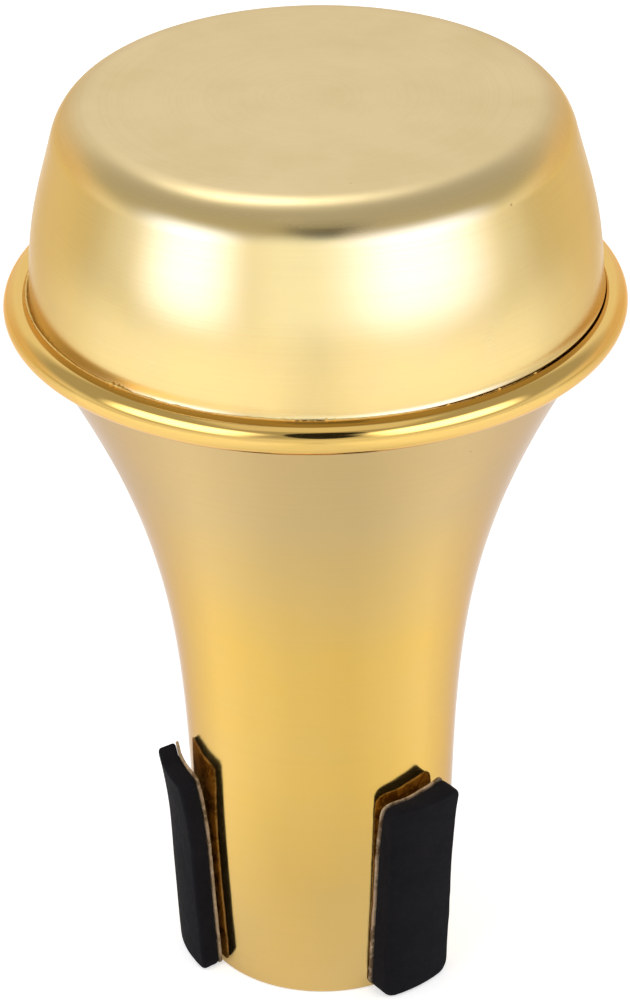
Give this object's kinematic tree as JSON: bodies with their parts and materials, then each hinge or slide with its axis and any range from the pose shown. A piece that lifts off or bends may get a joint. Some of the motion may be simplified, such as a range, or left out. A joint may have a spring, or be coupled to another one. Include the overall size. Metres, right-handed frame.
{
  "type": "trumpet mute",
  "caption": "Flared spun-metal mute body with a rolled bead, closed by a cup-shaped end cap, with foam pads on its open neck.",
  "frame": {"origin": "centre of the open narrow end, which the mute stands on", "axes": "+Z along the turning axis, from the open neck up to the closed end; +X to the right and -Y towards the viewer of the picture"},
  "size_m": [0.105, 0.105, 0.1656],
  "materials": {
    "shell_gold": "gold coloured, glossy, with faint turning marks",
    "cap_gold": "gold coloured, satin top and semi-gloss wall",
    "clear_glue": "set clear glue, glossy",
    "pad_tape": "tan adhesive backing, matte",
    "pad_foam": "black closed-cell foam, matte"
  },
  "bodies": {
    "root": {"body_shell": "shell_gold", "end_cap": "cap_gold", "cap_adhesive": "clear_glue", "pad_tape_right": "pad_tape", "pad_tape_left": "pad_tape", "pad_tape_rear": "pad_tape", "foam_pad_right": "pad_foam", "foam_pad_left": "pad_foam", "foam_pad_rear": "pad_foam"}
  },
  "joints": []
}
